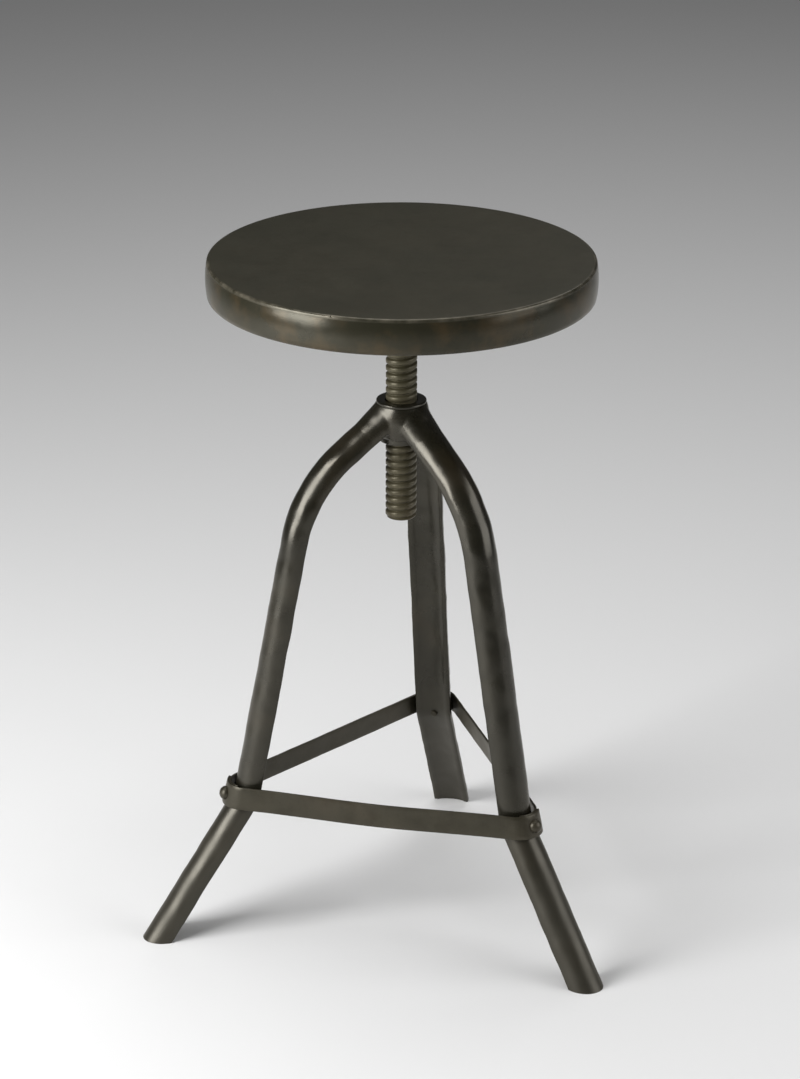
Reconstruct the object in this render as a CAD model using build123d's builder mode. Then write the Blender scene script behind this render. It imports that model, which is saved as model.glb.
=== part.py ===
from build123d import *

import os
from math import asin, atan2, cos, degrees, pi, radians, sin, tan

os.makedirs("parts", exist_ok=True)

# Screw-adjusted iron stool. The floor is z = 0 and the screw's axis is the Z axis.
# The back leg stands on +Y. The seat is drawn at the height at which the stool was photographed.

# Seat
seat_diameter = 327.0
seat_height = 602.0
seat_depth = 30.2
top_thickness = 4.0
top_edge_chamfer = 2.0
rim_thickness = 3.0

# Braces and plate under the seat
bar_width = 30.0
bar_thickness = 6.0
lap_clearance = 0.1
plate_width = 90.0
plate_thickness = 6.0

# Screw spindle
screw_diameter = 26.5
screw_pitch = 6.5
crest_width = 3.7
thread_depth = 1.8
thread_facets = 12
screw_end_height = 371.5
screw_end_chamfer = 3.0
neck_diameter = 19.0
neck_fit = 0.05

# Stop washer, loose on the neck between the thread and the plate
washer_diameter = 44.0
washer_thickness = 4.0
washer_bore_clearance = 0.5
washer_play = 0.3

# Hub
hub_bottom = 442.0
hub_height = 32.6
hub_diameter = 38.6
thread_clearance = 0.6
collar_diameter = 42.6
collar_height = 3.4
collar_edge_chamfer = 1.2

# Legs: a half-round bar, round side out, with a shallow dish along its inner side.
# The bar's outer line follows these corners. A setback is how far from its corner a bend starts.
back_leg_angle = 90.0
leg_spacing_angle = 120.0
leg_width = 32.0
leg_depth = 18.2
leg_lip = 3.0
leg_dish = 3.0
leg_root_drop = 0.2
shoulder_reach = 95.6
shoulder_height = 411.0
shoulder_setback = 49.5
kick_reach = 149.2
kick_height = 132.0
kick_setback = 4.0
foot_reach = 234.4

# Straps round the legs at the kick, resting on it by their lower edge, and the heads of their rivets
strap_height = 20.0
strap_drop = 11.0
strap_thickness = 2.2
strap_gap = 0.1
strap_lap_angle = 38.0
rivet_head_diameter = 12.0
rivet_head_height = 5.0
rivet_crown_diameter = 7.0

# Places that follow from the sizes above
seat_radius = seat_diameter / 2
rim_inner_radius = seat_radius - rim_thickness
top_bottom = seat_height - top_thickness
rim_bottom = seat_height - seat_depth
bar_bottom = top_bottom - bar_thickness
plate_bottom = bar_bottom - plate_thickness
washer_top = plate_bottom - washer_play
washer_bottom = washer_top - washer_thickness
thread_top = washer_bottom - washer_play
crest_radius = screw_diameter / 2
root_radius = crest_radius - thread_depth
neck_radius = neck_diameter / 2
hub_radius = hub_diameter / 2
hub_top = hub_bottom + hub_height
collar_radius = collar_diameter / 2
collar_top = hub_top + collar_height
leg_angles = {"back": back_leg_angle,
              "left": back_leg_angle + leg_spacing_angle,
              "right": back_leg_angle + 2 * leg_spacing_angle}
root_height = hub_top - leg_root_drop
root_lean = atan2(shoulder_reach - hub_radius, root_height - shoulder_height)
shin_lean = atan2(kick_reach - shoulder_reach, shoulder_height - kick_height)
kick_lean = atan2(foot_reach - kick_reach, kick_height)
shoulder_bend = shoulder_setback / tan((root_lean - shin_lean) / 2)
kick_bend = kick_setback / tan((kick_lean - shin_lean) / 2)
strap_bottom = kick_height - strap_drop
rivet_height = strap_bottom + strap_height / 2


def finish(piece, name):
    """Labels a finished piece and writes it as a node of its own."""
    piece.part.label = name
    export_step(piece.part, f"parts/{name}.step")


def upright_plane(angle):
    """Upright plane through the axis: local x points outwards at this angle, local y up."""
    outward = (cos(radians(angle)), sin(radians(angle)), 0)
    across = (sin(radians(angle)), -cos(radians(angle)), 0)
    return Plane(origin=(0, 0, 0), x_dir=outward, z_dir=across)


def screw_body(bottom, top, growth):
    """Right-hand screw, its helix drawn in straight chords, that covers bottom to top and more.

    The outline of one pitch is a flat crest and two flanks that meet at the root. Growth moves
    every face outwards, for the thread that is cut in the hub.
    """
    crest, root = crest_radius + growth, root_radius + growth
    outline = [(crest, -growth), (crest, crest_width + growth),
               (root, (crest_width + screw_pitch) / 2), (crest, screw_pitch - growth)]
    first_turn = int(bottom // screw_pitch) - 1
    turns = int((top - bottom) // screw_pitch) + 3

    def corner(step, radius, rise):
        turn = 2 * pi * step / thread_facets
        height = screw_pitch * (first_turn + step / thread_facets) + rise
        return Vector(radius * cos(turn), radius * sin(turn), height)

    def flat(*corners):
        return Face(Wire.make_polygon([corner(*c) for c in corners], close=True))

    crest_low, crest_high, groove, next_crest = outline
    faces = []
    for k in range(turns * thread_facets):
        faces.append(flat((k, *crest_low), (k + 1, *crest_low), (k + 1, *crest_high), (k, *crest_high)))
        for low, high in ((crest_high, groove), (groove, next_crest)):
            faces.append(flat((k, *low), (k + 1, *low), (k, *high)))
            faces.append(flat((k + 1, *low), (k + 1, *high), (k, *high)))
    for start in (0, turns * thread_facets):
        for k in range(start, start + thread_facets):
            faces.append(flat((k, 0, crest_low[1]), (k, *crest_low), (k + 1, *crest_low)))
            faces.append(flat((k, 0, crest_low[1]), (k + 1, *crest_low), (k + 1, 0, crest_low[1])))
        step_face = [(start, *point) for point in outline]
        faces.append(flat((start, 0, crest_low[1]), *step_face, (start, 0, next_crest[1])))
    return Solid(Shell(faces))


# Seat pan: a flat round top with a deep rim
with BuildPart() as seat_pan:
    with BuildSketch(Plane.XY.offset(rim_bottom)):
        Circle(seat_radius)
    extrude(amount=seat_depth)
    chamfer(seat_pan.faces().sort_by(Axis.Z)[-1].edges(), top_edge_chamfer)
    with BuildSketch(Plane.XY.offset(rim_bottom)):
        Circle(rim_inner_radius)
    extrude(amount=seat_depth - top_thickness, mode=Mode.SUBTRACT)
finish(seat_pan, "seat_pan")


def make_bar(angle, notch_bottom):
    """Flat brace across the rim, halved at the middle over or under the other one."""
    level = Plane.XY.offset(bar_bottom).rotated((0, 0, angle))
    with BuildPart() as bar:
        with BuildSketch(level):
            Circle(rim_inner_radius)
            Rectangle(seat_diameter, bar_width, mode=Mode.INTERSECT)
        extrude(amount=bar_thickness)
        with BuildSketch(level.offset(notch_bottom)):
            Rectangle(bar_width + 2 * lap_clearance, bar_width)
        extrude(amount=bar_thickness / 2, mode=Mode.SUBTRACT)
    return bar


# Two braces in a halved cross, their ends on the rim's inner wall
finish(make_bar(0, bar_thickness / 2), "seat_bar_long")
finish(make_bar(90, 0), "seat_bar_cross")

# Plate: carries the seat's braces on the screw's neck
with BuildPart() as seat_plate:
    with BuildSketch(Plane.XY.offset(plate_bottom)):
        Rectangle(plate_width, plate_width)
        Circle(neck_radius + neck_fit, mode=Mode.SUBTRACT)
    extrude(amount=plate_thickness)
finish(seat_plate, "seat_plate")

# Spindle: threaded rod with a chamfered lower end and a plain neck for washer and plate
with BuildPart() as spindle:
    add(screw_body(screw_end_height, thread_top, 0))
    with BuildSketch(Plane.XZ):
        with BuildLine():
            Polyline((0, screw_end_height), (crest_radius - screw_end_chamfer, screw_end_height),
                     (screw_diameter, screw_end_height + crest_radius + screw_end_chamfer),
                     (screw_diameter, thread_top), (0, thread_top), close=True)
        make_face()
    revolve(axis=Axis.Z, mode=Mode.INTERSECT)
    with BuildSketch(Plane.XY.offset(thread_top)):
        Circle(neck_radius)
    extrude(amount=bar_bottom - thread_top)
finish(spindle, "spindle")

# Stop washer: caught on the neck, it lands on the collar when the seat is wound right down
with BuildPart() as stop_washer:
    with BuildSketch(Plane.XY.offset(washer_bottom)):
        Circle(washer_diameter / 2)
        Circle(neck_radius + washer_bore_clearance, mode=Mode.SUBTRACT)
    extrude(amount=washer_thickness)
finish(stop_washer, "stop_washer")

# Hub: the threaded boss that the legs are welded to, with a collar above the leg ends
with BuildPart() as hub_nut:
    with BuildSketch(Plane.XZ):
        with BuildLine():
            Polyline((0, hub_bottom), (hub_radius, hub_bottom), (hub_radius, hub_top),
                     (collar_radius, hub_top + collar_edge_chamfer),
                     (collar_radius, collar_top - collar_edge_chamfer),
                     (collar_radius - collar_edge_chamfer, collar_top), (0, collar_top), close=True)
        make_face()
    revolve(axis=Axis.Z)
    add(screw_body(hub_bottom, collar_top, thread_clearance), mode=Mode.SUBTRACT)
finish(hub_nut, "hub_nut")


def make_leg(angle):
    """Bent half-round bar from the hub to the floor, saddle-cut at the hub and level at the foot."""
    upright = upright_plane(angle)
    half = leg_width / 2
    dish_half = half - leg_lip
    dish_floor = leg_dish - leg_depth
    with BuildPart() as leg:
        with BuildLine(upright):
            route = FilletPolyline((0, root_height + hub_radius / tan(root_lean)),
                                   (shoulder_reach, shoulder_height), (kick_reach, kick_height),
                                   (foot_reach + leg_depth * tan(kick_lean), -leg_depth),
                                   radius=[shoulder_bend, kick_bend])
        with BuildSketch(Plane(route @ 0, x_dir=-upright.z_dir, z_dir=route % 0)):
            with BuildLine():
                CenterArc((0, -half), half, 0, 180)
                Polyline((-half, -half), (-half, -leg_depth), (-dish_half, -leg_depth),
                         (-dish_half, dish_floor), (dish_half, dish_floor),
                         (dish_half, -leg_depth), (half, -leg_depth), (half, -half))
            make_face()
        sweep()
        split(bisect_by=Plane((0, 0, 0), z_dir=upright.x_dir), keep=Keep.TOP)
        with Locations((0, 0, hub_bottom)):
            Cylinder(hub_radius, 2 * seat_height, mode=Mode.SUBTRACT)
        split(bisect_by=Plane.XY, keep=Keep.TOP)
    return leg


for side, angle in leg_angles.items():
    finish(make_leg(angle), f"leg_{side}")

# Where the straps bend round the legs: arcs that meet the leg's crown at the strap's lower edge
leg_rounding = leg_width / 2
strap_centre_reach = foot_reach - strap_bottom * tan(kick_lean) - leg_rounding
inner_lap_radius = leg_rounding + strap_gap
outer_lap_radius = inner_lap_radius + strap_thickness
strap_face_reach = strap_centre_reach + outer_lap_radius + strap_thickness


def make_strap(start_angle, start_radius, end_angle, end_radius):
    """Flat bar outside two legs: each end lies on its leg or laps over the strap that does."""
    start = Vector(strap_centre_reach, 0).rotate(Axis.Z, start_angle)
    end = Vector(strap_centre_reach, 0).rotate(Axis.Z, end_angle)
    widen = degrees(asin((end_radius - start_radius) / (end - start).length))
    normal = (start_angle + end_angle) / 2 - widen
    towards = Vector(1, 0).rotate(Axis.Z, normal)
    start_sweep = start_angle - strap_lap_angle - normal
    end_sweep = end_angle + strap_lap_angle - normal
    with BuildPart() as strap:
        with BuildSketch(Plane.XY.offset(strap_bottom)):
            with BuildLine():
                sides = []
                for skin in (0, strap_thickness):
                    first = CenterArc(start, start_radius + skin, normal, start_sweep)
                    last = CenterArc(end, end_radius + skin, normal, end_sweep)
                    Line(start + towards * (start_radius + skin), end + towards * (end_radius + skin))
                    sides.append((first @ 1, last @ 1))
                Line(sides[0][0], sides[1][0])
                Line(sides[0][1], sides[1][1])
            make_face()
        extrude(amount=strap_height)
    return strap


# The front strap laps over both others, and at the back leg the right strap laps over the left one
finish(make_strap(leg_angles["back"], inner_lap_radius, leg_angles["left"], inner_lap_radius),
       "strap_back_left")
finish(make_strap(leg_angles["left"], outer_lap_radius, leg_angles["right"], outer_lap_radius),
       "strap_front")
finish(make_strap(leg_angles["right"], inner_lap_radius, leg_angles["back"] + 360, outer_lap_radius),
       "strap_back_right")

# Rivet heads: one on the crown of each lap
with BuildPart() as strap_rivets:
    for angle in leg_angles.values():
        upright = upright_plane(angle)
        middle = upright.from_local_coords((strap_face_reach, rivet_height, 0))
        crown = Plane(middle, x_dir=(0, 0, 1), z_dir=upright.x_dir)
        with BuildSketch(crown):
            Circle(rivet_head_diameter / 2)
        with BuildSketch(crown.offset(rivet_head_height)):
            Circle(rivet_crown_diameter / 2)
        loft()
finish(strap_rivets, "strap_rivets")
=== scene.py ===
from math import asin, atan2, cos, pi, radians, sin, tan

import bmesh
import bpy
from mathutils import Matrix, Vector


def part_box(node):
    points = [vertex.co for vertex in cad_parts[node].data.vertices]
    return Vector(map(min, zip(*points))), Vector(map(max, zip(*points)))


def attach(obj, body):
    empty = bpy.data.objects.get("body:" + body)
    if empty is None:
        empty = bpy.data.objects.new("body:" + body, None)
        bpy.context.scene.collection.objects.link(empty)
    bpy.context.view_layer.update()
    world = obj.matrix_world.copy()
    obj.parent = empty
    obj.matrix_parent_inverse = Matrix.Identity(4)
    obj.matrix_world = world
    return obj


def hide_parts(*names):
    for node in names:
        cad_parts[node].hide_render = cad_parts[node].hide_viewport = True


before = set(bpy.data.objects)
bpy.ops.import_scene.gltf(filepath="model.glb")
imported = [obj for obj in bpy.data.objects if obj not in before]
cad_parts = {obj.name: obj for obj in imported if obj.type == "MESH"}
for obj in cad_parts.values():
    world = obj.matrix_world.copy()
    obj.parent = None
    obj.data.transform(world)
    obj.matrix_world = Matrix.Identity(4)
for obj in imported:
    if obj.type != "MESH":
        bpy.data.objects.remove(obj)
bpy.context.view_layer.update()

# Sizes of the stool in metres, read from the frame where a node gives them
PAN_LOW, PAN_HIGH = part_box("seat_pan")
SCREW_LOW, SCREW_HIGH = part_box("spindle")
WASHER_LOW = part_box("stop_washer")[0]
HUB_LOW, HUB_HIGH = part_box("hub_nut")
LEG_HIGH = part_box("leg_back")[1]
STRAP_LOW, STRAP_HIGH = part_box("strap_front")

# Seat
SEAT_RADIUS, TOP_THICKNESS, RIM_THICKNESS = 0.1635, 0.004, 0.003
EDGE_ROUNDING, RIM_CROWN, LOWER_EDGE, SEAT_STEPS = 0.0023, 0.0012, 0.0008, 192
TOP_RINGS, CURVE_STEPS = (0.35, 0.7, 0.9), 8
NICK_WAY, NICK_RADIUS, NICK_DROP = radians(263), 0.0014, 0.0006

# Screw and hub
PITCH, CREST_WIDTH, CREST_RADIUS, THREAD_DEPTH = 0.0065, 0.0037, 0.01325, 0.0018
CREST_ROUNDING, CREST_DROP, ROOT_FLAT, THREAD_STEPS = 0.0004, 0.00025, 0.0005, 40
WASHER_PLAY, SCREW_MARGIN, SCREW_END_ROUNDING = 0.0003, 0.0005, 0.0032
THREAD_TOP = WASHER_LOW.z - WASHER_PLAY
NECK_RADIUS, NECK_ROUNDING, NECK_OVERLAP = 0.0095, 0.0006, 0.002
HUB_RADIUS, COLLAR_RADIUS, COLLAR_HEIGHT = 0.0193, 0.0213, 0.0034
BORE_PLAY, COLLAR_SLOPE, HUB_ROUNDING = 0.0004, 0.0006, 0.0012

# Legs: their section, then the corners of the back leg's outer line
LEG_WIDTH, LEG_DEPTH, LEG_LIP, LEG_DISH = 0.032, 0.0182, 0.003, 0.003
SECTION_POINTS, DISH_STEPS, DISH_FULLNESS = 48, 12, 0.7
ROOT = Vector((0, HUB_RADIUS, LEG_HIGH.z))
SHOULDER = Vector((0, 0.0956, 0.411))
KICK = Vector((0, 0.1492, 0.132))
FOOT = Vector((0, 0.2339, 0))
SHOULDER_SETBACK, KICK_SETBACK = 0.0495, 0.004
ROOT_REACH, FOOT_OVERRUN, LEG_EDGE_ROUNDING = 0.016, 0.02, 0.0008
ROOT_STEPS, SHOULDER_STEPS, SHIN_STEPS, KICK_STEPS, FOOT_STEPS = 14, 26, 56, 8, 36
LEG_WAYS = {"back": radians(90), "left": radians(210), "right": radians(330)}
LEG_TURNS = {"back": 0, "left": radians(120), "right": radians(240)}
HUB_TOOL_LENGTH, LEG_SINK = 0.2, 0.0004

# Weld: swell of its sleeves, and the outline of its skirt as radii and heights
WELD_SWELL, WELD_END_SIZE, WELD_REACH, WELD_STEPS = 1.16, 0.97, 0.060, 14
WELD_SKIRT = ((0.012, 0.446), (0.0197, 0.446), (0.0212, 0.4505), (0.0228, 0.456), (0.0238, 0.462),
              (0.0236, 0.468), (0.0226, 0.473), (0.0212, 0.4764), (0.012, 0.4764))
WELD_TOP, WELD_GRAIN, WELD_SINK = 0.4766, 0.0009, 0.002
WELD_FLOW, WELD_FLOW_ROUNDS = 0.5, 14

# Straps and rivets
STRAP_THICKNESS, STRAP_GAP, STRAP_LAP = 0.0022, 0.0001, radians(38)
STRAP_LEAN, STRAP_ROWS, STRAP_RUN_STEPS, LAP_STEPS = 0.005, 6, 48, 28
STRAP_EDGE_ROUNDING, ROW_SLACK = 0.0006, 0.0005
FRONT_SAG, SAG_REACH, SAG_MIDDLE = 0.0021, 0.45, 0.3
LAP_CENTRE = 0.1403
INNER_LAP = LEG_WIDTH / 2 + STRAP_GAP
OUTER_LAP = INNER_LAP + STRAP_THICKNESS
LAP_FACE = LAP_CENTRE + OUTER_LAP + STRAP_THICKNESS
RIVET_RADIUS, RIVET_HEIGHT, RIVET_SINK, SHANK_RADIUS = 0.006, 0.005, 0.001, 0.003
TAIL_STAND, TAIL_DRAW, TAIL_LENGTH, TAIL_ROUNDING = 0.001, 0.9, 0.0006, 0.0005

# Depth of the hammer marks
LEG_DENTS, WELD_DENTS, STRAP_DENTS = 0.0013, 0.0012, 0.0008

# Fineness of the modelling: merging, plane cuts, picking by place, picking by normal
MERGE, SEAM_MERGE, FINE_CUT, NEAR, FACING = 0.00001, 0.00002, 0.000001, 0.0001, 0.9
POINT_SIZE, ROUND_STEPS, UP = 0.001, 96, (0, 0, 1)


def clear_selection():
    """Leaves edit mode with nothing selected, ready for the next primitive."""
    if bpy.context.object and bpy.context.object.mode != "OBJECT":
        bpy.ops.object.mode_set(mode="OBJECT")
    bpy.ops.object.select_all(action="DESELECT")


def activate(piece):
    """Makes one piece the active and only selected one."""
    clear_selection()
    piece.select_set(True)
    bpy.context.view_layer.objects.active = piece


def edit(piece):
    """Opens one piece in edit mode with nothing in it selected."""
    activate(piece)
    bpy.ops.object.mode_set(mode="EDIT")
    bpy.ops.mesh.select_all(action="DESELECT")


def close():
    """Leaves edit mode."""
    bpy.ops.object.mode_set(mode="OBJECT")


def pick(kind, test):
    """Selects, in edit mode, the points, edges or faces whose place and direction pass a test."""
    bpy.ops.mesh.select_mode(type=kind)
    bpy.ops.mesh.select_all(action="DESELECT")
    shape = bmesh.from_edit_mesh(bpy.context.object.data)
    if kind == "VERT":
        for point in shape.verts:
            point.select_set(test(point.co))
    elif kind == "EDGE":
        for line in shape.edges:
            a, b = (point.co for point in line.verts)
            line.select_set(test((a + b) / 2, b - a))
    else:
        for face in shape.faces:
            face.select_set(test(face.calc_center_median(), face.normal))
    shape.select_flush_mode()
    bmesh.update_edit_mesh(bpy.context.object.data)


def push(way):
    """Extrudes what is selected by a vector."""
    bpy.ops.mesh.extrude_region_move(TRANSFORM_OT_translate={"value": tuple(way)})


def run(way, steps):
    """Extrudes a straight run in even steps."""
    for _ in range(steps):
        push(way / steps)


def merge_points():
    """Selects everything in edit mode and merges points that lie on one another."""
    bpy.ops.mesh.select_all(action="SELECT")
    bpy.ops.mesh.remove_doubles(threshold=MERGE)


def slice_off(place, normal, keep_above=True):
    """Cuts the piece in edit mode along a plane, throws one side away and closes the cut."""
    bpy.ops.mesh.select_all(action="SELECT")
    bpy.ops.mesh.bisect(plane_co=place, plane_no=normal, use_fill=True, threshold=FINE_CUT,
                        clear_inner=keep_above, clear_outer=not keep_above)


def outward_normals(piece):
    """Merges doubles and turns all faces outwards."""
    edit(piece)
    merge_points()
    bpy.ops.mesh.normals_make_consistent(inside=False)
    close()


def place_in_mesh(piece):
    """Puts the piece's place, turn and scale into its mesh."""
    activate(piece)
    bpy.ops.object.transform_apply(location=True, rotation=True, scale=True)


def new_primitive(add, **sizes):
    """New primitive made by one of the add operators, with its place in its mesh."""
    clear_selection()
    add(**sizes)
    piece = bpy.context.object
    place_in_mesh(piece)
    return piece


def start_outline(place):
    """New piece that is one point, open in edit mode, ready for an outline to be drawn from it."""
    piece = new_primitive(bpy.ops.mesh.primitive_plane_add, size=POINT_SIZE, location=place)
    edit(piece)
    pick("VERT", lambda point: True)
    bpy.ops.mesh.merge(type="CENTER")
    return piece


def turn_outline(outline, steps=ROUND_STEPS, closed=True):
    """Solid turned round the screw's axis from an outline of radii and heights."""
    here, *corners = (*outline, outline[0]) if closed else outline
    piece = start_outline((here[0], 0, here[1]))
    for there in corners:
        push((there[0] - here[0], 0, there[1] - here[1]))
        here = there
    merge_points()
    bpy.ops.mesh.select_all(action="SELECT")
    bpy.ops.mesh.spin(steps=steps, angle=2 * pi, axis=UP, center=(0, 0, 0))
    close()
    outward_normals(piece)
    return piece


def finish_modifiers(piece):
    """Applies every modifier of a piece, in order."""
    activate(piece)
    for modifier in list(piece.modifiers):
        bpy.ops.object.modifier_apply(modifier=modifier.name)


def round_edges(piece, width, segments, angle):
    """Rounds the edges of a piece that are sharper than an angle."""
    bevel = piece.modifiers.new("rounding", "BEVEL")
    bevel.width, bevel.segments = width, segments
    bevel.limit_method, bevel.angle_limit = "ANGLE", radians(angle)
    finish_modifiers(piece)


def wall(piece, thickness):
    """Gives a sheet its thickness, outwards from the sheet that was drawn."""
    solidify = piece.modifiers.new("wall", "SOLIDIFY")
    solidify.thickness, solidify.offset = thickness, 1
    solidify.use_even_offset = True
    finish_modifiers(piece)


def cut(piece, tool, operation="DIFFERENCE"):
    """Cuts a piece with another one, which is then thrown away."""
    boolean = piece.modifiers.new("cut", "BOOLEAN")
    boolean.operation, boolean.object, boolean.solver = operation, tool, "EXACT"
    finish_modifiers(piece)
    bpy.data.objects.remove(tool, do_unlink=True)


def join(name, *pieces):
    """Joins pieces into the first one."""
    clear_selection()
    for piece in pieces:
        piece.select_set(True)
    bpy.context.view_layer.objects.active = pieces[0]
    bpy.ops.object.join()
    pieces[0].name = name
    return pieces[0]


def turned_copy(piece, name, turn):
    """Copy of a piece, with a mesh of its own, turned round the screw's axis."""
    twin = piece.copy()
    twin.data = piece.data.copy()
    twin.name = name
    bpy.context.collection.objects.link(twin)
    twin.data.transform(Matrix.Rotation(turn, 4, "Z"))
    return twin


def smooth(piece, angle=40):
    """Smooth shading with the sharp edges kept."""
    activate(piece)
    bpy.ops.object.shade_smooth_by_angle(angle=radians(angle))


def dress(piece, material, body, slot, *nodes):
    """Gives a finished piece its material and its body, and hides the nodes it stands for. The slot argument
    is not used.
    """
    piece.data.materials.clear()
    piece.data.materials.append(material)
    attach(piece, body)
    if nodes:
        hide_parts(*nodes)


# Materials

RUST = (0.052, 0.037, 0.018, 1)
# Colour of the seat's top edge ring: worn bare iron, made lighter as a painted highlight of the edge
RUBBED_IRON_AND_EDGE_HIGHLIGHT = (0.105, 0.094, 0.070, 1)
SCUFFED_IRON = (0.030, 0.027, 0.019, 1)
WARM_GLINT = (1.0, 0.95, 0.84, 1)
WAVE_DEPTH, PIT_DEPTH = 0.0008, 0.0001


def lacquered_iron(name, dark, brown, light, gloss, bump, shine=0.5, mottle=1.0, worn_and_highlit_ring=None,
                   dull_below=None):
    """Old dark iron under a clear lacquer: olive and brown clouds, fine specks and a slightly uneven skin.

    worn_and_highlit_ring gives the radius and height of an edge ring that is made lighter: partly lacquer
    worn through to bare iron, partly a painted highlight standing in for the light the rounded edge catches.
    The side below that edge is rusty and glossier than the top. dull_below is the height under which the
    lacquer is scuffed dull."""
    material = bpy.data.materials.new(name)
    material.use_nodes = True
    nodes, links = material.node_tree.nodes, material.node_tree.links
    shader = nodes["Principled BSDF"]
    place = nodes.new("ShaderNodeTexCoord").outputs["Object"]

    def noise(size, detail, rough=0.55):
        """Cloudy pattern of a given fineness."""
        texture = nodes.new("ShaderNodeTexNoise")
        texture.inputs["Scale"].default_value = size
        texture.inputs["Detail"].default_value = detail
        texture.inputs["Roughness"].default_value = rough
        links.new(place, texture.inputs["Vector"])
        return texture.outputs["Fac"]

    def ramp(source, *stops):
        """Colours for the values of a pattern."""
        band = nodes.new("ShaderNodeValToRGB")
        while len(band.color_ramp.elements) < len(stops):
            band.color_ramp.elements.new(0.5)
        for element, (position, colour) in zip(band.color_ramp.elements, stops):
            element.position, element.color = position, (*colour, 1)
        links.new(source, band.inputs["Fac"])
        return band.outputs["Color"]

    def mix(kind, amount, base, layer):
        """One colour laid over another."""
        blend = nodes.new("ShaderNodeMix")
        blend.data_type, blend.blend_type = "RGBA", kind
        for socket, value in (("Factor", amount), ("A", base), ("B", layer)):
            if isinstance(value, (float, tuple)):
                blend.inputs[socket].default_value = value
            else:
                links.new(value, blend.inputs[socket])
        return blend.outputs["Result"]

    def scaled(source, low, high, to_low, to_high):
        """Value brought from one range into another."""
        span = nodes.new("ShaderNodeMapRange")
        for socket, value in (("From Min", low), ("From Max", high), ("To Min", to_low), ("To Max", to_high)):
            span.inputs[socket].default_value = value
        links.new(source, span.inputs["Value"])
        return span.outputs["Result"]

    def combined(operation, first, second):
        """Two values added or multiplied."""
        sums = nodes.new("ShaderNodeMath")
        sums.operation = operation
        links.new(first, sums.inputs[0])
        links.new(second, sums.inputs[1])
        return sums.outputs["Value"]

    def measured(operation, output, source, other=None):
        """Vector sum, of a vector and at times a fixed one."""
        sums = nodes.new("ShaderNodeVectorMath")
        sums.operation = operation
        links.new(source, sums.inputs[0])
        if other:
            sums.inputs[1].default_value = other
        return sums.outputs[output]

    split = nodes.new("ShaderNodeSeparateXYZ")
    links.new(place, split.inputs["Vector"])
    height = split.outputs["Z"]

    patina = ramp(noise(13, 6), (0.36, dark), (0.54, brown), (0.70, light))
    stains = ramp(noise(85, 5, 0.6), (0.34, (0.70, 0.68, 0.62)), (0.56, (1.0, 1.0, 1.0)))
    specks = noise(520, 3, 0.7)
    grain = ramp(specks, (0.28, (0.45,) * 3), (0.42, (1.0,) * 3))
    colour = mix("MULTIPLY", 0.5 * mottle, mix("MULTIPLY", 0.8 * mottle, patina, stains), grain)
    wear = noise(34, 5)
    polish = scaled(wear, 0.3, 0.7, *gloss)
    uneven = nodes.new("ShaderNodeBump")
    uneven.inputs["Strength"].default_value = bump

    if worn_and_highlit_ring:
        flat = measured("MULTIPLY", "Vector", place, (1, 1, 0))
        section = nodes.new("ShaderNodeCombineXYZ")
        links.new(measured("LENGTH", "Value", flat), section.inputs["X"])
        links.new(height, section.inputs["Y"])
        away = measured("DISTANCE", "Value", section.outputs["Vector"], (*worn_and_highlit_ring, 0))
        near = scaled(away, 0.0008, 0.0026, 1, 0)
        # Lighter ring along the top edge: partly worn-through lacquer, partly a painted highlight of the
        # rounded edge
        rubbed_and_highlight = combined("MULTIPLY", near, scaled(noise(60, 4, 0.6), 0.40, 0.66, 0.1, 1))
        side = scaled(height, worn_and_highlit_ring[1] - 0.0025, worn_and_highlit_ring[1] - 0.0015, 1, 0)
        rusty = combined("MULTIPLY", side, scaled(noise(26, 6, 0.62), 0.46, 0.62, 0, 0.75))
        colour = mix("MIX", rusty, colour, RUST)
        colour = mix("MIX", rubbed_and_highlight, colour, RUBBED_IRON_AND_EDGE_HIGHLIGHT)
        polish = combined("ADD", polish, scaled(side, 0, 1, 0.27, 0))
        polish = combined("MULTIPLY", polish, scaled(near, 0, 1, 1, 0.45))
        links.new(scaled(side, 0, 1, bump, 4 * bump), uneven.inputs["Strength"])
    if dull_below:
        scuffed = scaled(height, 0.6 * dull_below, 1.2 * dull_below, 1, 0)
        polish = combined("ADD", polish, scaled(scuffed, 0, 1, 0, 0.17))
        colour = mix("MIX", scaled(scuffed, 0, 1, 0, 0.6), colour, SCUFFED_IRON)
    links.new(colour, shader.inputs["Base Color"])
    links.new(polish, shader.inputs["Roughness"])
    shader.inputs["Metallic"].default_value = 0.3
    shader.inputs["Specular IOR Level"].default_value = shine
    shader.inputs["Specular Tint"].default_value = WARM_GLINT

    uneven.inputs["Distance"].default_value = WAVE_DEPTH
    links.new(wear, uneven.inputs["Height"])
    pits = nodes.new("ShaderNodeBump")
    pits.inputs["Strength"].default_value = bump * 0.5
    pits.inputs["Distance"].default_value = PIT_DEPTH
    links.new(specks, pits.inputs["Height"])
    links.new(uneven.outputs["Normal"], pits.inputs["Normal"])
    links.new(pits.outputs["Normal"], shader.inputs["Normal"])
    return material


seat_lacquer = lacquered_iron("seat lacquer", (0.0205, 0.0200, 0.0118), (0.0240, 0.0224, 0.0134),
                              (0.0268, 0.0246, 0.0150), (0.17, 0.27), 0.10, mottle=0.4,
                              worn_and_highlit_ring=(0.1616, 0.6011))
leg_lacquer = lacquered_iron("leg lacquer", (0.011, 0.0102, 0.0066), (0.014, 0.0128, 0.0080),
                             (0.024, 0.0190, 0.0110), (0.18, 0.32), 0.2, shine=0.80, dull_below=0.14)
screw_iron = lacquered_iron("bare screw iron", (0.058, 0.052, 0.029), (0.074, 0.064, 0.038),
                            (0.098, 0.068, 0.042), (0.36, 0.48), 0.2)
strap_lacquer = lacquered_iron("strap lacquer", (0.028, 0.0255, 0.017), (0.036, 0.032, 0.0215),
                               (0.048, 0.040, 0.027), (0.30, 0.42), 0.2)


# Seat pan

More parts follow.
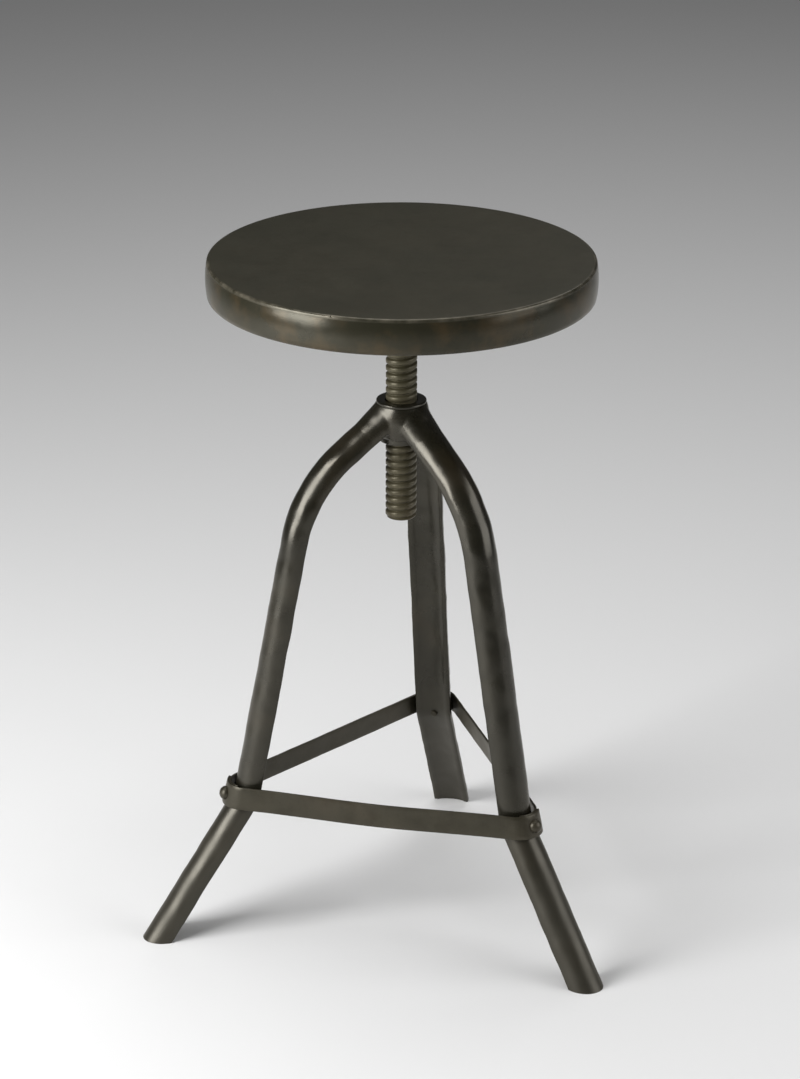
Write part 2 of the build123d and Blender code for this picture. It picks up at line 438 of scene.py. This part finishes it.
def make_seat():
    """Shallow pan turned over: a disc with a softly rounded edge, a crowned rim and a hollow underside."""
    low, high, inner = PAN_LOW.z, PAN_HIGH.z, SEAT_RADIUS - RIM_THICKNESS
    under = high - TOP_THICKNESS
    edge = [(SEAT_RADIUS - RIM_CROWN - EDGE_ROUNDING * (1 - sin(turn)),
             high - EDGE_ROUNDING * (1 - cos(turn)))
            for turn in (radians(90 * step / CURVE_STEPS) for step in range(CURVE_STEPS + 1))]
    wall_low, wall_high = low + LOWER_EDGE, high - EDGE_ROUNDING
    rim = [(SEAT_RADIUS - RIM_CROWN * (2 * step / CURVE_STEPS - 1) ** 2,
            wall_high + (wall_low - wall_high) * step / CURVE_STEPS)
           for step in range(1, CURVE_STEPS + 1)]
    outline = [(0, high)] + [(SEAT_RADIUS * share, high) for share in TOP_RINGS] + edge + rim
    outline += [(SEAT_RADIUS - RIM_CROWN - LOWER_EDGE, low), (inner, low), (inner, under), (0, under)]
    seat = turn_outline(outline, steps=SEAT_STEPS, closed=False)
    nick = new_primitive(bpy.ops.mesh.primitive_uv_sphere_add, segments=16, ring_count=10, radius=NICK_RADIUS,
                         location=((SEAT_RADIUS - RIM_CROWN) * cos(NICK_WAY),
                                   (SEAT_RADIUS - RIM_CROWN) * sin(NICK_WAY), high - NICK_DROP))
    cut(seat, nick)
    smooth(seat)
    seat.name = "seat_shell"
    return seat


dress(make_seat(), seat_lacquer, "seat", "seat", "seat_pan")


# Screw spindle

def make_spindle():
    """Coarse right-hand thread with rounded crests, a rounded lower end and a plain neck."""
    first = int(SCREW_LOW.z / PITCH) - 2
    turns = int((THREAD_TOP - SCREW_LOW.z) / PITCH) + 5
    screw = start_outline((CREST_RADIUS, 0, first * PITCH + CREST_ROUNDING))
    flank = (PITCH - CREST_WIDTH - ROOT_FLAT) / 2
    for step in ((0, 0, CREST_WIDTH - 2 * CREST_ROUNDING), (-CREST_DROP, 0, CREST_ROUNDING),
                 (CREST_DROP - THREAD_DEPTH, 0, flank), (0, 0, ROOT_FLAT),
                 (THREAD_DEPTH - CREST_DROP, 0, flank), (CREST_DROP, 0, CREST_ROUNDING)):
        push(step)
    close()
    twist = screw.modifiers.new("thread", "SCREW")
    twist.axis, twist.angle, twist.screw_offset = "Z", 2 * pi, PITCH
    twist.iterations, twist.steps, twist.render_steps = turns, THREAD_STEPS, THREAD_STEPS
    twist.use_merge_vertices, twist.merge_threshold = True, SEAM_MERGE
    finish_modifiers(screw)
    outward_normals(screw)
    edit(screw)
    slice_off((0, 0, SCREW_LOW.z - SCREW_MARGIN), UP)
    slice_off((0, 0, THREAD_TOP), UP, keep_above=False)
    bpy.ops.mesh.select_all(action="SELECT")
    bpy.ops.mesh.normals_make_consistent(inside=False)
    close()

    blank_top = THREAD_TOP + NECK_OVERLAP
    blank = new_primitive(bpy.ops.mesh.primitive_cylinder_add, vertices=ROUND_STEPS, radius=CREST_RADIUS,
                          depth=blank_top - SCREW_LOW.z, location=(0, 0, (blank_top + SCREW_LOW.z) / 2))
    edit(blank)
    pick("EDGE", lambda middle, way: middle.z < SCREW_LOW.z + NEAR)
    bpy.ops.mesh.bevel(offset=SCREW_END_ROUNDING, segments=6, affect="EDGES")
    close()
    cut(screw, blank, "INTERSECT")

    neck = new_primitive(bpy.ops.mesh.primitive_cylinder_add, vertices=64, radius=NECK_RADIUS,
                         depth=SCREW_HIGH.z - THREAD_TOP + NECK_OVERLAP,
                         location=(0, 0, (SCREW_HIGH.z + THREAD_TOP - NECK_OVERLAP) / 2))
    edit(neck)
    pick("EDGE", lambda middle, way: middle.z > SCREW_HIGH.z - NEAR)
    bpy.ops.mesh.bevel(offset=NECK_ROUNDING, segments=2, affect="EDGES")
    close()
    screw = join("screw_spindle", screw, neck)
    smooth(screw)
    return screw


dress(make_spindle(), screw_iron, "seat", "screw", "spindle")


# Hub

def make_hub():
    """Bored boss with a thin rounded collar on top, turned in one piece."""
    bore, body_top = CREST_RADIUS + BORE_PLAY, HUB_HIGH.z - COLLAR_HEIGHT
    hub = turn_outline(((bore, HUB_LOW.z), (HUB_RADIUS, HUB_LOW.z), (HUB_RADIUS, body_top),
                        (COLLAR_RADIUS, body_top + COLLAR_SLOPE), (COLLAR_RADIUS, HUB_HIGH.z),
                        (bore, HUB_HIGH.z)))
    round_edges(hub, HUB_ROUNDING, 5, 30)
    smooth(hub)
    hub.name = "hub_boss"
    return hub


dress(make_hub(), leg_lacquer, "base", "frame", "hub_nut")


# Legs

def lean(a, b):
    """Angle from the vertical of the line between two points of a leg's outer line."""
    return atan2(b.y - a.y, a.z - b.z)


def along(angle):
    """Direction down a run of the leg that leans by this angle."""
    return Vector((0, sin(angle), -cos(angle)))


def outside(angle):
    """Direction square to that run, away from the axis."""
    return Vector((0, cos(angle), sin(angle)))


ROOT_LEAN, SHIN_LEAN, KICK_LEAN = lean(ROOT, SHOULDER), lean(SHOULDER, KICK), lean(KICK, FOOT)
LEG_START = ROOT - along(ROOT_LEAN) * ROOT_REACH


def draw_section(size=1.0):
    """Face of a leg's section at its hub end: round side out, flat side hollowed between two lips."""
    half, side, out = LEG_WIDTH / 2 * size, Vector((1, 0, 0)), outside(ROOT_LEAN)
    middle = LEG_START - out * LEG_WIDTH / 2
    section = new_primitive(bpy.ops.mesh.primitive_circle_add, vertices=SECTION_POINTS, radius=half,
                            location=middle, rotation=(ROOT_LEAN, 0, 0))
    edit(section)
    pick("VERT", lambda point: (point - middle).dot(out) < -NEAR)
    bpy.ops.mesh.delete(type="VERT")
    pick("VERT", lambda point: point.x > half - NEAR)
    push(out * (LEG_WIDTH / 2 - LEG_DEPTH))
    push(side * -LEG_LIP)
    depth = 0.0
    for step in range(1, DISH_STEPS + 1):
        deeper = LEG_DISH * sin(pi * step / DISH_STEPS) ** DISH_FULLNESS
        push(side * ((2 * LEG_LIP - 2 * half) / DISH_STEPS) + out * (deeper - depth))
        depth = deeper
    push(side * -LEG_LIP)
    push(out * (LEG_DEPTH - LEG_WIDTH / 2))
    merge_points()
    bpy.ops.mesh.select_all(action="SELECT")
    bpy.ops.mesh.edge_face_add()
    return section


def make_leg():
    """Back leg: a half-round bar, round side out and dished inside, drawn from the hub down to the floor."""
    leg = draw_section()
    bend_start = SHOULDER - along(ROOT_LEAN) * SHOULDER_SETBACK
    run(bend_start - LEG_START, ROOT_STEPS)
    bend_radius = SHOULDER_SETBACK / tan((ROOT_LEAN - SHIN_LEAN) / 2)
    bpy.ops.mesh.spin(steps=SHOULDER_STEPS, angle=ROOT_LEAN - SHIN_LEAN, axis=(1, 0, 0),
                      center=bend_start - outside(ROOT_LEAN) * bend_radius)
    shin_start = SHOULDER + along(SHIN_LEAN) * SHOULDER_SETBACK
    shin_end = KICK - along(SHIN_LEAN) * KICK_SETBACK
    run(shin_end - shin_start, SHIN_STEPS)
    bend_radius = KICK_SETBACK / tan((KICK_LEAN - SHIN_LEAN) / 2)
    bpy.ops.mesh.spin(steps=KICK_STEPS, angle=KICK_LEAN - SHIN_LEAN, axis=(-1, 0, 0),
                      center=shin_end + outside(SHIN_LEAN) * bend_radius)
    foot_start = KICK + along(KICK_LEAN) * KICK_SETBACK
    run(FOOT + along(KICK_LEAN) * FOOT_OVERRUN - foot_start, FOOT_STEPS)
    close()
    outward_normals(leg)
    round_edges(leg, LEG_EDGE_ROUNDING, 3, 50)
    return leg


HAMMERED = bpy.data.textures.new("hammer marks", "CLOUDS")
HAMMERED.noise_scale, HAMMERED.noise_depth = 0.021, 2


def hammer(piece, depth):
    """Makes a skin uneven, as hammering leaves it."""
    dents = piece.modifiers.new("hammering", "DISPLACE")
    dents.texture, dents.texture_coords = HAMMERED, "LOCAL"
    dents.mid_level, dents.strength = 0.5, depth
    finish_modifiers(piece)


def clear_hub(piece, sink):
    """Cuts the hub's round out of a piece, which still reaches into the hub by a small depth."""
    cut(piece, new_primitive(bpy.ops.mesh.primitive_cylinder_add, vertices=ROUND_STEPS,
                             radius=HUB_RADIUS - sink, depth=HUB_TOOL_LENGTH, location=(0, 0, HUB_LOW.z)))


def set_leg(leg):
    """Gives a leg its hammered skin, its level foot and its saddle cut at the hub."""
    hammer(leg, LEG_DENTS)
    edit(leg)
    slice_off((0, 0, 0), UP)
    close()
    clear_hub(leg, LEG_SINK)
    smooth(leg)


plain_leg = make_leg()
for side, turn in LEG_TURNS.items():
    leg = turned_copy(plain_leg, f"bent_leg_{side}", turn)
    set_leg(leg)
    dress(leg, leg_lacquer, "base", "frame", f"leg_{side}")
bpy.data.objects.remove(plain_leg, do_unlink=True)


# Welds that run the legs into the hub

def make_weld():
    """Weld metal over the legs' roots and in the corners between them, run smooth."""
    sleeve = draw_section(WELD_SWELL)
    size = WELD_SWELL
    for step in range(1, WELD_STEPS + 1):
        push(along(ROOT_LEAN) * (WELD_REACH / WELD_STEPS))
        past = max(step / WELD_STEPS * WELD_REACH - ROOT_REACH, 0) / (WELD_REACH - ROOT_REACH)
        smaller = WELD_END_SIZE + (WELD_SWELL - WELD_END_SIZE) * (1 - past) ** 2
        place = (LEG_START + along(ROOT_LEAN) * (WELD_REACH * step / WELD_STEPS)
                 - outside(ROOT_LEAN) * LEG_WIDTH / 2)
        bpy.ops.transform.resize(value=(smaller / size,) * 3, center_override=place)
        size = smaller
    close()
    outward_normals(sleeve)
    sleeves = [turned_copy(sleeve, "sleeve", turn) for turn in LEG_TURNS.values()]
    bpy.data.objects.remove(sleeve, do_unlink=True)
    weld = join("root_weld", turn_outline(WELD_SKIRT), *sleeves)
    edit(weld)
    slice_off((0, 0, WELD_TOP), UP, keep_above=False)
    close()
    outward_normals(weld)
    fuse = weld.modifiers.new("fuse", "REMESH")
    fuse.mode, fuse.voxel_size = "VOXEL", WELD_GRAIN
    finish_modifiers(weld)
    hammer(weld, WELD_DENTS)
    flow = weld.modifiers.new("flow", "SMOOTH")
    flow.factor, flow.iterations = WELD_FLOW, WELD_FLOW_ROUNDS
    finish_modifiers(weld)
    clear_hub(weld, WELD_SINK)
    smooth(weld, 60)
    return weld


dress(make_weld(), leg_lacquer, "base", "frame")


# Straps

def make_strap(first, first_lap, last, last_lap, sag):
    """Flat strap from one leg to the next, each end bent round its leg at its own lap radius.

    Its upper edge is drawn in, so that it leans with the legs, and its middle may sag."""
    start = Vector((cos(first), sin(first), 0)) * LAP_CENTRE
    end = Vector((cos(last), sin(last), 0)) * LAP_CENTRE
    middle, span = (start + end) / 2, (end - start).length
    normal = (first + last) / 2 - asin((last_lap - first_lap) / span)
    out = Vector((cos(normal), sin(normal), 0))
    low, high = STRAP_LOW.z, STRAP_HIGH.z
    edge_way = first - STRAP_LAP
    edge_place = start + Vector((cos(edge_way), sin(edge_way), 0)) * first_lap
    strap = new_primitive(bpy.ops.mesh.primitive_plane_add, size=high - low,
                          location=(*edge_place.xy, (low + high) / 2), rotation=(pi / 2, 0, edge_way))
    edit(strap)
    pick("VERT", lambda point: (point.xy - edge_place.xy).dot(edge_place.xy - start.xy) > 0)
    bpy.ops.mesh.delete(type="VERT")
    bpy.ops.mesh.select_all(action="SELECT")
    shift = edge_place.xy - bmesh.from_edit_mesh(strap.data).verts[:][0].co.xy
    bpy.ops.transform.translate(value=(*shift, 0))
    bpy.ops.mesh.subdivide(number_cuts=STRAP_ROWS - 1)
    bpy.ops.mesh.spin(steps=LAP_STEPS, angle=normal - edge_way, axis=(0, 0, -1), center=start)
    run(end + out * last_lap - start - out * first_lap, STRAP_RUN_STEPS)
    bpy.ops.mesh.spin(steps=LAP_STEPS, angle=last + STRAP_LAP - normal, axis=(0, 0, -1), center=end)
    merge_points()
    bpy.ops.mesh.normals_make_consistent(inside=False)
    faces = bmesh.from_edit_mesh(strap.data).faces
    flat = min(faces, key=lambda face: (face.calc_center_median().xy - middle.xy).length)
    if flat.normal.dot(out) < 0:
        bpy.ops.mesh.flip_normals()
    for row in range(1, STRAP_ROWS + 1):
        height = low + (high - low) * row / STRAP_ROWS
        pick("VERT", lambda point: abs(point.z - height) < ROW_SLACK)
        tighter = 1 - STRAP_LEAN * row / STRAP_ROWS / (LAP_CENTRE + INNER_LAP)
        bpy.ops.transform.resize(value=(tighter, tighter, 1), center_override=(0, 0, height))
    if sag:
        way = (end - start).normalized()
        pick("VERT", lambda point: abs((point - middle).dot(way)) < SAG_MIDDLE * span / STRAP_RUN_STEPS)
        bpy.ops.transform.translate(value=(0, 0, -sag), use_proportional_edit=True,
                                    proportional_edit_falloff="SMOOTH", proportional_size=SAG_REACH * span)
    close()
    hammer(strap, STRAP_DENTS)
    wall(strap, STRAP_THICKNESS)
    round_edges(strap, STRAP_EDGE_ROUNDING, 2, 50)
    smooth(strap)
    return strap


LAPS = {"back_left": ("back", INNER_LAP, "left", INNER_LAP, 0),
        "front": ("left", OUTER_LAP, "right", OUTER_LAP, FRONT_SAG),
        "back_right": ("right", INNER_LAP, "back", OUTER_LAP, 0)}
for name, (first, first_lap, last, last_lap, sag) in LAPS.items():
    last_way = LEG_WAYS[last] + (2 * pi if LEG_WAYS[last] < LEG_WAYS[first] else 0)
    strap = make_strap(LEG_WAYS[first], first_lap, last_way, last_lap, sag)
    strap.name = f"tie_strap_{name}"
    dress(strap, strap_lacquer, "base", "straps", f"strap_{name}")


# Rivets

def make_rivet():
    """Rivet of the back leg: a domed head on the lap, a shank through leg and straps, and a flat tail."""
    tilt = atan2(STRAP_LEAN, STRAP_HIGH.z - STRAP_LOW.z)
    out, turn = outside(tilt), (pi / 2 + tilt, 0, 0)
    face = Vector((0, LAP_FACE - STRAP_LEAN / 2, (STRAP_LOW.z + STRAP_HIGH.z) / 2))
    head = new_primitive(bpy.ops.mesh.primitive_uv_sphere_add, segments=36, ring_count=20,
                         radius=RIVET_RADIUS, location=face, rotation=turn,
                         scale=(1, 1, RIVET_HEIGHT / RIVET_RADIUS))
    edit(head)
    slice_off(face, out)
    pick("FACE", lambda middle, normal: normal.dot(out) < -FACING)
    push(out * -RIVET_SINK)
    close()

    foot_out = outside(KICK_LEAN)
    length = (LEG_DEPTH - LEG_DISH + (face - KICK).dot(foot_out)) / out.dot(foot_out) + TAIL_STAND
    shank = new_primitive(bpy.ops.mesh.primitive_cylinder_add, vertices=32, radius=SHANK_RADIUS,
                          depth=length, rotation=turn, location=face - out * length / 2)
    edit(shank)
    pick("FACE", lambda middle, normal: normal.dot(out) < -FACING)
    bpy.ops.mesh.extrude_region_move()
    bpy.ops.transform.resize(value=(TAIL_DRAW,) * 3, center_override=face - out * length)
    push(out * -TAIL_LENGTH)
    pick("EDGE", lambda middle, way: (middle - face).dot(out) < -length - TAIL_LENGTH + NEAR)
    bpy.ops.mesh.bevel(offset=TAIL_ROUNDING, segments=3, affect="EDGES")
    close()
    rivet = join("rivet", head, shank)
    smooth(rivet)
    return rivet


plain_rivet = make_rivet()
rivets = [turned_copy(plain_rivet, f"rivet_{side}", turn) for side, turn in LEG_TURNS.items()]
bpy.data.objects.remove(plain_rivet, do_unlink=True)
dress(join("strap_rivet_heads", *rivets), strap_lacquer, "base", "straps", "strap_rivets")

# Solids that keep their shape
for node, material in {"seat_bar_long": leg_lacquer, "seat_bar_cross": leg_lacquer,
                       "seat_plate": leg_lacquer, "stop_washer": screw_iron}.items():
    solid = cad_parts[node]
    solid.data.materials.clear()
    solid.data.materials.append(material)

# Floor
FLOOR_SIZE, PAPER_GREY = 30, (0.76, 0.76, 0.76, 1)
clear_selection()
bpy.ops.mesh.primitive_plane_add(size=FLOOR_SIZE, location=(0, 0, 0))
floor = bpy.context.object
floor.name = "studio_floor"
paper = bpy.data.materials.new("pale paper")
paper.use_nodes = True
paper.node_tree.nodes["Principled BSDF"].inputs["Base Color"].default_value = PAPER_GREY
paper.node_tree.nodes["Principled BSDF"].inputs["Roughness"].default_value = 0.9
floor.data.materials.append(paper)


# Light: a tall soft box on the left, one overhead, weaker ones on the right and behind, and a dim room

def soft_lamp(name, place, target, width, height, power):
    """Upright soft box that faces a point."""
    lamp = bpy.data.lights.new(name, "AREA")
    lamp.shape, lamp.size, lamp.size_y, lamp.energy = "RECTANGLE", width, height, power
    holder = bpy.data.objects.new(name, lamp)
    holder.location = place
    holder.rotation_euler = (Vector(target) - Vector(place)).to_track_quat("-Z", "Y").to_euler()
    bpy.context.collection.objects.link(holder)


soft_lamp("key lamp", (-1.30, -1.26, 1.0), (0, 0, 0.4), 1.1, 1.5, 59)
soft_lamp("top lamp", (-0.2, 0.1, 2.4), (0, 0, 0), 1.6, 1.6, 20)
soft_lamp("fill lamp", (2.2, -0.1, 1.1), (0, 0, 0.4), 1.8, 1.6, 26)
soft_lamp("back lamp", (0.4, 2.2, 2.6), (0, 0, 0.3), 1.4, 1.2, 8)

ROOM_GREY = (0.08, 0.08, 0.08, 1)
room = bpy.data.worlds.new("grey room")
room.use_nodes = True
room.node_tree.nodes["Background"].inputs["Color"].default_value = ROOM_GREY
room.node_tree.nodes["Background"].inputs["Strength"].default_value = 1.0
bpy.context.scene.world = room
bpy.context.scene.view_settings.view_transform = "Standard"

# Camera at the photograph's height and angle
VIEW_TURN, VIEW_TILT, VIEW_ROLL = radians(13.2), radians(90 - 22.03), radians(0.2)
VIEW_DISTANCE, VIEW_HEIGHT, VIEW_ASIDE = 2.816, 1.4893, radians(0.016)
lens = bpy.data.cameras.new("camera")
lens.sensor_fit, lens.sensor_width, lens.lens = "HORIZONTAL", 36, 159.68
camera = bpy.data.objects.new("camera", lens)
camera.location = (VIEW_DISTANCE * sin(VIEW_TURN), -VIEW_DISTANCE * cos(VIEW_TURN), VIEW_HEIGHT)
camera.rotation_euler = (Matrix.Rotation(VIEW_TURN + VIEW_ASIDE, 3, "Z")
                         @ Matrix.Rotation(VIEW_TILT, 3, "X")
                         @ Matrix.Rotation(VIEW_ROLL, 3, "Z")).to_euler()
bpy.context.collection.objects.link(camera)
bpy.context.scene.camera = camera

clear_selection()
